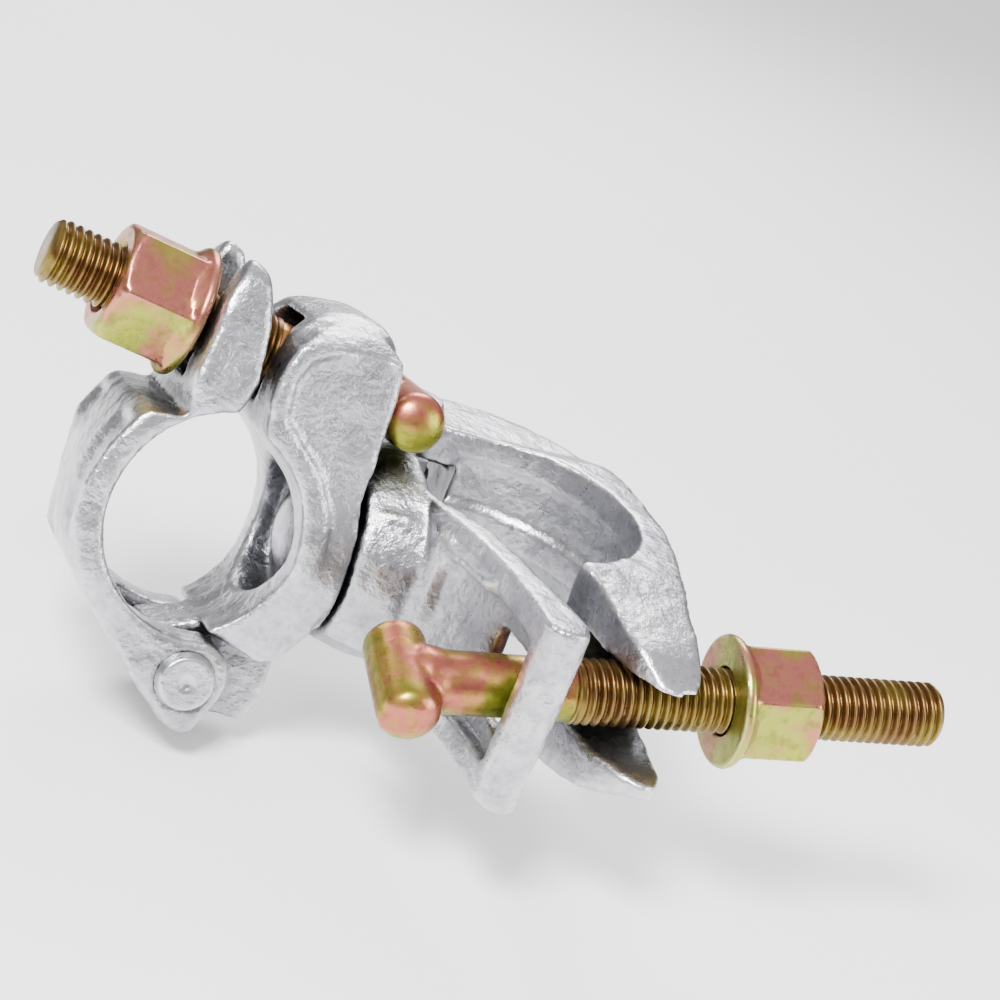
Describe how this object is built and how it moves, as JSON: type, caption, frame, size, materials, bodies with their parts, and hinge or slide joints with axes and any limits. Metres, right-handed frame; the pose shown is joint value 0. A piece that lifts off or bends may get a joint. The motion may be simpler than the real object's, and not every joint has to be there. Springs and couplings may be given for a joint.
{
  "type": "scaffold swivel coupler",
  "caption": "Forged swivel tube coupler: two hinged clamp halves joined back to back by a rivet, each closed by a cross-headed bolt and a flanged hexagon nut.",
  "frame": {"origin": "centre of the larger tube's bore, mid-way along the clamp", "axes": "+Z along the larger tube, +X away from the swivel, -Y towards the larger clamp's bolt"},
  "size_m": [0.1995, 0.1132, 0.1028],
  "materials": {
    "forged_zinc": "hot-dip galvanized forging, satin",
    "rivet_zinc": "galvanized, satin",
    "passivated_zinc": "yellow iridescent passivated zinc plate, semi-gloss"
  },
  "bodies": {
    "large_half": {"large_saddle": "forged_zinc"},
    "large_cap": {"large_flap": "forged_zinc", "large_hinge_rivet": "rivet_zinc"},
    "large_bolt": {"large_t_bolt": "passivated_zinc"},
    "large_nut": {"large_flange_nut": "passivated_zinc"},
    "small_half": {"small_saddle": "forged_zinc", "swivel_rivet": "rivet_zinc"},
    "small_cap": {"small_flap": "forged_zinc", "small_hinge_rivet": "rivet_zinc"},
    "small_bolt": {"small_t_bolt": "passivated_zinc"},
    "small_nut": {"small_flange_nut": "passivated_zinc"}
  },
  "joints": [
    {"name": "swivel", "type": "hinge", "parent": "large_half", "child": "small_half", "pos_m": [-0.0429, 0, 0], "axis": [1, 0, 0], "range_deg": [-200, 60]},
    {"name": "large_flap_hinge", "type": "hinge", "parent": "large_half", "child": "large_cap", "pos_m": [-0.0205, 0.037, 0], "axis": [0, 0, 1], "range_deg": [-2, 5.5]},
    {"name": "large_bolt_travel", "type": "slide", "parent": "large_half", "child": "large_bolt", "axis": [0.99, 0, 0.141], "range_m": [0, 0.0105]},
    {"name": "large_nut_travel", "type": "slide", "parent": "large_bolt", "child": "large_nut", "axis": [0.99, 0, 0.141], "range_m": [0, 0.03]},
    {"name": "small_flap_hinge", "type": "hinge", "parent": "small_half", "child": "small_cap", "pos_m": [-0.0697, -0.00647, -0.03124], "axis": [0, -0.9792, 0.2028], "range_deg": [0, 8]},
    {"name": "small_bolt_swing", "type": "hinge", "parent": "small_half", "child": "small_bolt", "pos_m": [-0.0366, 0.00627, 0.03026], "axis": [0, 0.9792, -0.2028], "range_deg": [-4, 4]},
    {"name": "small_nut_travel", "type": "slide", "parent": "small_bolt", "child": "small_nut", "axis": [-0.984, 0.0361, 0.1743], "range_m": [0, 0.0105]}
  ],
  "couplings": [
    {"joint": "small_flap_hinge", "follows": "small_nut_travel", "rad_per_m": 13}
  ]
}
